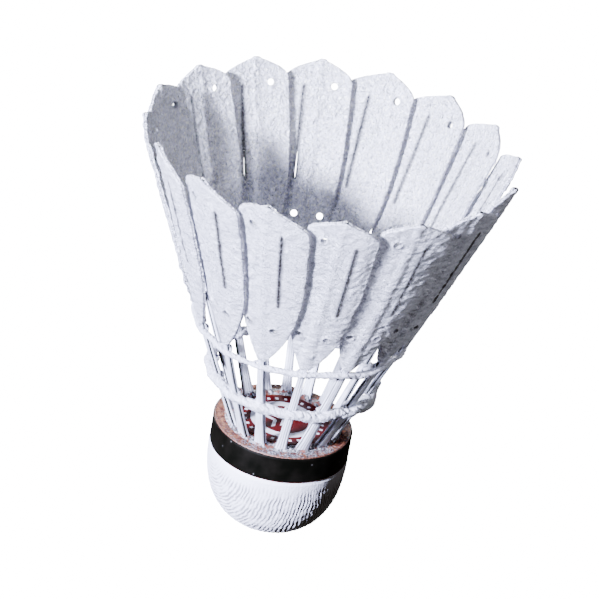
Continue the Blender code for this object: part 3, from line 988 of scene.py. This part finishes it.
def add_stalk(index, origin, axes, materials):
    """A stalk whose black core shows between its white layers on both sides and at its top."""
    buried, shown = np.linspace(-SOCKET_DEPTH, 0.0, 3), np.linspace(0.8, VANE_TOP - 0.02, 44)
    places = np.concatenate((buried, shown))
    points, uv = [], []
    drift = wave_field(np.random.default_rng(SEED + 500 + index), 12.0, 40.0, 8)
    for place in places:
        ring = stalk_ring(place)
        flare = stalk_flare(place)
        shift = STALK_DRIFT * drift(np.array([[0.0, place]]))[0] * min(max(place, 0.0) / 10.0, 1.0)
        for x, y in ring:
            points.append((x * flare + shift, y - stalk_bow(place), place))
            uv.append((x + (INNER_FACE_PITCH if y > 0 else 0.0) + FEATHER_PITCH * index, place))
    around = len(ring)
    sides = ring_faces(len(places), around)
    core = set(range(2, 7)) | set(range(around - 9, around - 4))
    kinds = [BLACK if i % around in core else WHITE for i in range(len(sides))] + [WHITE, BLACK]
    make_object(f"layered_stalk_{index + 1:02d}", np.array(points) @ axes.T + origin,
                sides + end_caps(len(places), around), materials,
                (f"stalk_{index + 1:02d}",), np.array(uv), kinds)


# --- threads

def thread_path(place, radius, rng):
    """The middle line of a thread that lies on the outer faces of the stalks, all round."""
    drift = wave_field(rng, 5.0, 16.0, 12, dimensions=3)
    anchors = []
    for axes, origin in FEATHERS:
        depth = stalk_half(place, 1) + radius * 0.5
        anchors.append(origin + axes @ (0.0, -depth - stalk_bow(place), place))
    points = []
    for here, there in zip(anchors, anchors[1:] + anchors[:1]):
        for step in range(STEPS_BETWEEN_STALKS):
            points.append(here + (there - here) * step / STEPS_BETWEEN_STALKS)
    points = rolling_mean(np.array(points), 5)
    points[:, 2] += THREAD_SAG * drift(points)
    return points


def hitch_paths(place, radius):
    """The strand that comes out of the thread, goes behind each stalk and back into it."""
    wide, deep = stalk_half(place, 0), stalk_half(place, 1)
    front = -deep - radius * 0.5
    corners = np.array(((-wide - 0.7, front, 0.25), (-wide - 0.32, front * 0.3, 0.30),
                        (-wide - 0.22, deep * 0.8, 0.20), (-wide * 0.4, deep + 0.26, 0.05),
                        (wide * 0.4, deep + 0.26, -0.05), (wide + 0.22, deep * 0.8, -0.20),
                        (wide + 0.32, front * 0.3, -0.30), (wide + 0.7, front, -0.25)))
    corners[:, 1] -= stalk_bow(place)
    corners[:, 2] += place
    stops = np.linspace(0.0, len(corners) - 1.0, 36)
    path = interpolated(stops, np.arange(len(corners)), corners)
    smooth = path.copy()
    for shift in (-2, -1, 1, 2):
        smooth += path[np.clip(np.arange(len(path)) + shift, 0, len(path) - 1)]
    return [origin + smooth / 5.0 @ axes.T for axes, origin in FEATHERS]


def tube(path, radii, around, twist_pitch, lobes, lobe_depth, rough, closed=True, sway=0.0):
    """A tube of twisted plies along a path: its points, faces and pattern places."""
    side, up = side_and_up(path, closed)
    reach = distances_along(path)
    total = reach[-1] + (np.linalg.norm(path[0] - path[-1]) if closed else 0.0)
    turns = max(1, round(total / twist_pitch))
    angles = np.linspace(0.0, math.tau, around, endpoint=False)
    twist = math.tau * turns * reach / total + sway
    ply = np.abs(np.cos(0.5 * lobes * (angles[None, :] + twist[:, None])))
    size = radii[:, None] * (1.0 - lobe_depth * (1.0 - ply) ** 2)
    points = path[:, None] + size[..., None] * (np.cos(angles)[:, None] * side[:, None]
                                                + np.sin(angles)[:, None] * up[:, None])
    flat = points.reshape(-1, 3)
    outward = unit_rows(flat - np.repeat(path, around, axis=0))
    flat = flat + outward * rough(flat)[:, None]
    turned_by = (angles[None, :] + twist[:, None]).ravel() / math.tau * 2.0
    faces = ring_faces(len(path), around, closed)
    if not closed:
        faces += end_caps(len(path), around)
    return flat, faces, np.column_stack((np.repeat(reach, around), turned_by, 1.0 - ply.ravel()))


def add_thread(name, place, diameter, seed, material, lump):
    """A thread of three plies with a hitch round each stalk, stiff with glue."""
    rng = np.random.default_rng(SEED + seed)
    radius = diameter / 2
    path = thread_path(place, radius, rng)
    swell, rough, sway = space_waves(rng, (2.5, 9.0, 20), (0.5, 1.6, 40), (5.0, 15.0, 16))

    def glue_lumps(places):
        return lump * rough(places)

    parts = [tube(path, radius * (1.0 + 0.13 * swell(path)), 36, diameter * 2.2 + 1.6, 3, 0.22,
                  glue_lumps, sway=1.5 * sway(path))]
    for hitch in hitch_paths(place, radius):
        thin = np.full(len(hitch), radius * 0.42)
        parts.append(tube(hitch, thin, 12, 1.8, 2, 0.18, glue_lumps, closed=False))
    points, faces, uv = [], [], []
    for part_points, part_faces, part_uv in parts:
        first = sum(len(p) for p in points)
        points.append(part_points)
        uv.append(part_uv)
        faces += [tuple(first + i for i in face) for face in part_faces]
    make_object(f"{name}_cotton", np.vstack(points), faces, material, (name,),
                np.vstack(uv))


def add_thread_glue(material):
    """Glue that covers the lower thread where it was tied off, and hangs from it like a curtain."""
    path = thread_path(LOWER_THREAD_PLACE, LOWER_THREAD_DIAMETER / 2,
                       np.random.default_rng(SEED + 700))
    path = path[int(GLUE_START * STEPS_BETWEEN_STALKS):int(GLUE_END * STEPS_BETWEEN_STALKS)]
    share = np.linspace(0.0, 1.0, len(path))
    lumps, fine = space_waves(np.random.default_rng(SEED + 777), (1.6, 4.5, 24), (0.8, 1.8, 24))
    around = 48
    taper = np.sqrt(np.sin(math.pi * share)) + 0.02
    size = LOWER_THREAD_DIAMETER / 2 * (0.95 + 0.32 * smoothstep((share - 0.25) / 0.35)) * taper
    side, up = side_and_up(path)
    angles = np.linspace(0.0, math.tau, around, endpoint=False)
    hang = 1.0 + CURTAIN_DEPTH * bell(share - 0.66, 0.17)
    tall = np.where(np.sin(angles)[None, :] < 0.0, hang[:, None], 1.05) * np.sin(angles)
    points = path[:, None] + size[:, None, None] * (np.cos(angles)[:, None] * side[:, None]
                                                    + tall[..., None] * up[:, None])
    inwards = unit_rows(-path * LEVEL)
    below = np.maximum(-tall * size[:, None] - 0.9, 0.0)
    points += 0.38 * below[..., None] * inwards[:, None]
    flat = points.reshape(-1, 3)
    outward = unit_rows(flat - np.repeat(path, around, axis=0))
    relief = 0.11 * lumps(flat) + 0.04 * fine(flat)
    flat = flat + outward * (relief * np.repeat(taper, around))[:, None]
    faces = ring_faces(len(path), around) + end_caps(len(path), around)
    make_object("thread_glue", flat, faces, material)


# --- base

def nose_outline(angles, radius, height):
    """Pairs of radius and height on a rounded nose, from its widest (0) to its tip (pi / 2)."""
    return np.column_stack((radius * np.cos(angles) ** (2 / DOME_POWER),
                            DOME_HEIGHT - height * np.sin(angles) ** (2 / DOME_POWER)))


def dome_line():
    """The nose's outline from near its tip to its widest, evenly spaced."""
    line = nose_outline(np.linspace(math.pi / 2, 0.0, 150), DOME_RADIUS, DOME_HEIGHT)[1:]
    reach = distances_along(line)
    return interpolated(np.linspace(0.12, reach[-1], 170), reach, line)


def wrinkled(dome):
    """The nose's points, sunk into fine wrinkles that follow the leather's grain, and how deep in
    a wrinkle each one is."""
    bend, ragged, breaks = space_waves(np.random.default_rng(SEED + 900), (2.5, 7.0, 30),
                                       (0.8, 2.0, 40), (1.2, 4.0, 30))
    normal = unit_rows(dome - (0.0, 0.0, DOME_HEIGHT))
    turn_from_pole = np.arccos(normal @ (GRAIN_AXIS / np.linalg.norm(GRAIN_AXIS)))
    phase = turn_from_pole * DOME_RADIUS * math.tau / WRINKLE_SPACING
    phase += 1.5 * bend(dome) + 0.6 * ragged(dome)
    strength = np.clip(0.85 + 0.45 * breaks(dome), 0.2, 1.2)
    groove = (0.5 + 0.5 * np.cos(phase)) ** 1.3 * strength
    fade = smoothstep((DOME_HEIGHT - 0.6 - dome[:, 2]) / 3.2)
    groove *= 0.12 + 0.88 * fade
    depth = WRINKLE_DEPTH * groove + 0.03 * (1.0 - ragged(dome)) * fade
    return dome - normal * depth[:, None], groove


def add_leather(material):
    """The leather over the nose, its straight side under the band, and its lining."""
    around = 520
    line = dome_line()
    dome, groove = wrinkled(turned(line, around))
    inner = BAND_SEAT_RADIUS - LEATHER_THICKNESS
    rim = [(BAND_SEAT_RADIUS, CORK_TOP - 5.4), (BAND_SEAT_RADIUS, CORK_TOP - 0.08),
           (BAND_SEAT_RADIUS - 0.06, CORK_TOP), (RIM_INNER_RADIUS + 0.05, CORK_TOP),
           (RIM_INNER_RADIUS, CORK_TOP - 0.1), (inner, CORK_TOP - 1.2), (inner, DOME_HEIGHT)]
    lining = nose_outline(np.linspace(0.15, math.pi / 2 - 0.05, 12), inner,
                          DOME_HEIGHT - LEATHER_THICKNESS)
    tips = [(0.0, 0.0, 0.0), (0.0, 0.0, LEATHER_THICKNESS)]
    points = np.vstack((dome, turned([*rim, *lining], around), tips))
    rings = len(line) + len(rim) + len(lining)
    faces = ring_faces(rings, around) + end_fans(rings, around)
    hollow = np.zeros((len(points), 1))
    hollow[:len(dome), 0] = np.clip(groove, 0.0, 1.0)
    piece = make_object("leather_skin", points, faces, material, ("leather_cover",),
                        hollow)
    keep_corners(piece, 50.0)


def add_band(materials):
    """The tape round the rim. Its ends overlap at the back, and its edges wander slightly."""
    around = 360
    high = CORK_TOP - 0.15
    low = high - BAND_WIDTH
    inner = BAND_SEAT_RADIUS + 0.03
    outer = inner + BAND_THICKNESS
    heights = [low + 0.09, *np.linspace(low + 0.12, high - 0.08, 12)]
    profile = [(inner, low), (outer - 0.05, low), *((outer, z) for z in heights),
               (outer - 0.07, high), (inner, high)]
    points = turned(profile, around)
    wander, dents = space_waves(np.random.default_rng(SEED + 950), (6.0, 25.0, 12), (2.0, 6.0, 24))
    angle = np.arctan2(points[:, 1], points[:, 0])
    overlap = 0.09 * smoothstep((angle - 1.7) / 0.01) * smoothstep((2.15 - angle) / 0.01)
    proud = np.linalg.norm(points[:, :2], axis=1) > inner + 0.05
    swell = proud * (0.012 * dents(points) + overlap)
    points = points + unit_rows(points * LEVEL) * swell[:, None]
    points[:, 2] += 0.05 * wander(points * LEVEL)
    faces = ring_faces(len(profile), around, closed=True)
    kinds = [1 if i // around in (0, 1) else 0 for i in range(len(faces))]
    piece = make_object("tape_band", points, faces, materials, ("rim_band",), None, kinds)
    keep_corners(piece, 50.0)


def add_cork_top(material):
    """The collar of pressed cork, whose top face is rough with granules."""
    around = 380
    radius = BAND_SEAT_RADIUS - LEATHER_THICKNESS - 0.1
    brim = RIM_INNER_RADIUS - 0.04
    upper = [(r, CORK_TOP) for r in np.linspace(0.3, brim, 80)]
    lower = [(brim, CORK_TOP - 0.1), (radius, CORK_TOP - 1.2), (radius, 16.0),
             (radius * 0.985, 13.5), (radius * 0.96, CORK_SEAM)]
    points = turned(upper + lower, around)
    crumbs, lumps = space_waves(np.random.default_rng(SEED + 970), (0.35, 0.9, 60), (1.0, 2.6, 30))
    top = points[:, 2] == CORK_TOP
    reach = np.linalg.norm(points[:, :2], axis=1)
    rough = smoothstep((reach - 8.4) / 0.3) * smoothstep((brim - reach) / 0.10)
    points[top, 2] += (rough * (0.05 * crumbs(points) + 0.04 * lumps(points) - 0.03))[top]
    points = np.vstack((points, [(0.0, 0.0, CORK_TOP), (0.0, 0.0, CORK_SEAM)]))
    rings = len(upper) + len(lower)
    faces = [face[::-1] for face in ring_faces(rings, around) + end_fans(rings, around)]
    piece = make_object("pressed_cork", points, faces, material, ("cork_collar",))
    keep_corners(piece, 60.0)


def add_foot_glue(material):
    """The glue round the stalks' feet: a lumpy ring that climbs each stalk."""
    around = 720
    rows = 26
    crumbs, lumps = space_waves(np.random.default_rng(SEED + 990), (0.3, 0.8, 60), (0.9, 2.4, 30))
    radii = np.linspace(GLUE_INNER_RADIUS, GLUE_OUTER_RADIUS, rows)
    top = turned([(r, CORK_TOP) for r in radii], around)
    near = np.full(len(top), 9.0)
    for axes, origin in FEATHERS:
        local = (top - origin) @ axes
        gap_x = np.maximum(np.abs(local[:, 0]) - LOW_SIZE[0] * 0.9, 0.0)
        gap_y = np.maximum(np.abs(local[:, 1]) - LOW_SIZE[1] * 0.9, 0.0)
        near = np.minimum(near, np.hypot(gap_x, gap_y))
    reach = np.linalg.norm(top[:, :2], axis=1)
    edge = smoothstep((reach - GLUE_INNER_RADIUS) / 0.35)
    edge = edge * smoothstep((GLUE_OUTER_RADIUS - reach) / 0.5)
    height = 0.04 + 0.10 * crumbs(top) + 0.12 * lumps(top) + 0.75 * np.exp(-near / 0.34)
    top[:, 2] += 0.04 + np.maximum(height, 0.03) * edge
    base = turned([(r, CORK_TOP + 0.01) for r in (GLUE_OUTER_RADIUS, GLUE_INNER_RADIUS)], around)
    faces = [face[::-1] for face in ring_faces(rows + 2, around, closed=True)]
    make_object("glue_ring", np.vstack((top, base)), faces, material, ("foot_glue",))


def rectangle(left, right, low, high):
    return np.array(((left, low), (right, low), (right, high), (left, high)))


def chevron(shift):
    corners = np.array(((0.0, 1.9), (0.75, 1.9), (2.0, 0.0), (0.75, -1.9), (0.0, -1.9),
                        (1.25, 0.0)))
    return resampled(corners + (shift, 0.0), LABEL_SPACING)


def label_pattern(radius):
    """The flat label: its points, its triangles, which of them are light, and its rim."""
    centre = (0.0, 0.0)
    rim = circle(centre, radius, 180)
    ring_out, ring_in = circle(centre, 6.2, 140), circle(centre, 4.75, 120)
    spot = circle((4.9, 0.0), 1.75, 48)
    stripes = [resampled(rectangle(3.85, 5.95, y - 0.16, y + 0.16), LABEL_SPACING)
               for y in (-0.75, 0.0, 0.75)]
    dash = rectangle(6.95, 7.6, -0.28, 0.28)
    dashes = [resampled(dash @ spin_matrix(math.tau * number / LABEL_DASHES), LABEL_SPACING)
              for number in range(LABEL_DASHES)]
    chevrons = [chevron(-3.3), chevron(-1.5)]
    steps = np.arange(-8.4, 8.4, 0.6)
    grid = np.array([(x, y) for x in steps for y in steps])
    grid = grid[np.linalg.norm(grid, axis=1) < radius - 0.38]
    flat, triangles = triangulated([rim, ring_out, ring_in, spot, *stripes, *dashes, *chevrons],
                                   grid)
    triangles = triangles[inside(flat[triangles].mean(axis=1), rim)]
    middles = flat[triangles].mean(axis=1)
    light = inside(middles, ring_out) & ~inside(middles, ring_in)
    for shape in (*chevrons, *dashes, spot):
        light |= inside(middles, shape)
    for stripe in stripes:
        light &= ~inside(middles, stripe)
    return flat, anticlockwise(flat, triangles), light, rim


def add_label(materials):
    """The printed disc: a light ring, two chevrons and a striped spot on red. No lettering."""
    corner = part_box("label_disc")[1] / MM
    flat, triangles, light, rim = label_pattern(corner.x - 0.02)
    spin = spin_matrix(LABEL_TURN)
    flat = flat @ spin
    count = len(flat)
    lift = 0.015 * np.cos(flat[:, 0] * 0.5) * np.cos(flat[:, 1] * 0.4)
    top = np.column_stack((flat, np.full(count, corner.z) + lift))
    low = np.column_stack((flat, np.full(count, CORK_TOP + 0.02)))
    order = np.where(distance_to(flat, rim @ spin) < 1e-4)[0]
    order = order[np.argsort(np.arctan2(flat[order, 1], flat[order, 0]))].tolist()
    walls = [(here + count, there + count, there, here)
             for here, there in zip(order, order[1:] + order[:1])]
    faces = triangles.tolist() + (triangles[:, ::-1] + count).tolist() + walls
    kinds = light.astype(int).tolist() + [0] * (len(triangles) + len(walls))
    piece = make_object("printed_label", np.vstack((top, low)), faces, materials,
                        ("label_disc",), None, kinds)
    keep_corners(piece, 40.0)


# --- build

FEATHERS = []
for feather in range(FEATHER_COUNT):
    its_axes, its_low_end, _ = feather_frame(feather)
    FEATHERS.append((its_axes, foot_point(its_low_end, its_axes)))

foam_materials = (outer_foam_material(), inner_foam_material())
stalk_materials = [stalk_face_material(), stalk_core_material()]
cotton = cotton_material()
flat_pattern = vane_pattern()
for feather, (its_axes, its_origin) in enumerate(FEATHERS):
    add_vanes(feather, flat_pattern, its_origin, its_axes, foam_materials)
    add_stalk(feather, its_origin, its_axes, stalk_materials)
add_thread("upper_thread", UPPER_THREAD_PLACE, UPPER_THREAD_DIAMETER, 600, cotton, 0.05)
add_thread("lower_thread", LOWER_THREAD_PLACE, LOWER_THREAD_DIAMETER, 700, cotton, 0.10)
add_thread_glue(thread_glue_material())
add_leather(leather_material())
add_band([band_material(), band_edge_material()])
add_cork_top(cork_material("pressed_cork", 0.5, (0.060, 0.011, 0.007), (0.19, 0.072, 0.034),
                           dusty_and_shaded=True))
add_foot_glue(glue_material())
add_label([label_material("label_red", (0.034, 0.00005, 0.0006), (0.044, 0.0001, 0.0009), 0.6),
           label_material("label_silver", (0.46, 0.465, 0.51), (0.60, 0.605, 0.66), 0.4, 0.2)])
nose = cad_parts["cork_nose"]
nose.data.materials.clear()
nose.data.materials.append(cork_material("natural_cork", 0.9, (0.30, 0.16, 0.08),
                                         (0.50, 0.32, 0.18)))


# --- stage, light and camera

# From here on lengths are in metres.
MIDDLE = (cad_box[0] + cad_box[1]) / 2
SKIRT_MIDDLE = Vector((0.0, 0.0, 0.064))
SKIRT_POOL_RADIUS = 0.045
SPOT_DISTANCE = 0.50
FLOOR_RADIUS = 3.0
FLOOR_HEIGHT = -0.0005
FLOOR_CORNERS = 96
FLOOR_GLOW = 16.0
CAMERA_TARGET = Vector((-0.00057, 0.00292, 0.04619))
CAMERA_DISTANCE = 0.44932


def direction(azimuth, elevation):
    """The direction towards an azimuth and elevation in degrees, seen from the object."""
    a, e = math.radians(azimuth), math.radians(elevation)
    return Vector((math.cos(a) * math.cos(e), math.sin(a) * math.cos(e), math.sin(e)))


def stand(name, data, target, distance, azimuth, elevation, roll=0.0):
    """A lamp or camera that looks at a target from a distance, rolled about its line of sight."""
    thing = bpy.data.objects.new(name, data)
    bpy.context.scene.collection.objects.link(thing)
    away = direction(azimuth, elevation)
    thing.location = target + away * distance
    thing.rotation_mode = "QUATERNION"
    rolled = Quaternion((0.0, 0.0, 1.0), math.radians(roll))
    thing.rotation_quaternion = away.to_track_quat("Z", "Y") @ rolled
    return thing


def add_lamp(name, kind, target, azimuth, elevation, distance, power, colour, **settings):
    data = bpy.data.lights.new(name, kind)
    data.energy = power
    data.color = colour
    for key, value in settings.items():
        setattr(data, key, value)
    stand(name, data, target, distance, azimuth, elevation)


def add_floor():
    """A pale disc that glows white for the camera and casts nothing on the object."""
    s = Shader("pale_floor")
    grain = s.noise(s.millimetres(), 0.02)
    material = s.finish(s.ramp(grain, (0.3, 0.93), (0.7, 0.97)), 0.9,
                        **{"Emission Color": (1.0, 1.0, 1.0), "Emission Strength": FLOOR_GLOW})
    angles = [math.tau * i / FLOOR_CORNERS for i in range(FLOOR_CORNERS)]
    corners = [(FLOOR_RADIUS * math.cos(a), FLOOR_RADIUS * math.sin(a), FLOOR_HEIGHT)
               for a in angles]
    mesh = bpy.data.meshes.new("floor")
    mesh.from_pydata(corners, [], [tuple(range(FLOOR_CORNERS))])
    mesh.materials.append(material)
    disc = bpy.data.objects.new("floor", mesh)
    bpy.context.scene.collection.objects.link(disc)
    for flag in ("visible_diffuse", "visible_glossy", "visible_transmission", "visible_shadow"):
        setattr(disc, flag, False)


add_floor()
add_lamp("key_light", "AREA", MIDDLE, -138.0, 24.0, 0.60, 54.0, (0.75, 0.785, 1.0), size=0.060)
add_lamp("back_light", "AREA", MIDDLE, 102.0, 8.0, 0.60, 9.0, (0.90, 0.91, 1.0), size=0.150)
# A soft spot that lights the skirt and leaves the cork alone.
add_lamp("skirt_light", "SPOT", SKIRT_MIDDLE, -27.0, 22.0, SPOT_DISTANCE, 7.0, (0.92, 0.93, 1.0),
         shadow_soft_size=0.012, spot_blend=0.6,
         spot_size=2.0 * math.atan(SKIRT_POOL_RADIUS / SPOT_DISTANCE))

world = bpy.data.worlds.new("studio")
bpy.context.scene.world = world
world.use_nodes = True
background = world.node_tree.nodes["Background"]
background.inputs["Color"].default_value = (1.0, 0.88, 0.76, 1.0)
background.inputs["Strength"].default_value = 0.042

camera_data = bpy.data.cameras.new("camera")
camera_data.sensor_width = 36.0
camera_data.lens = 148.25
camera_data.clip_start = 0.05
camera_data.clip_end = 10.0
bpy.context.scene.camera = stand("camera", camera_data, CAMERA_TARGET, CAMERA_DISTANCE, -97.75,
                                 28.44, roll=10.06)
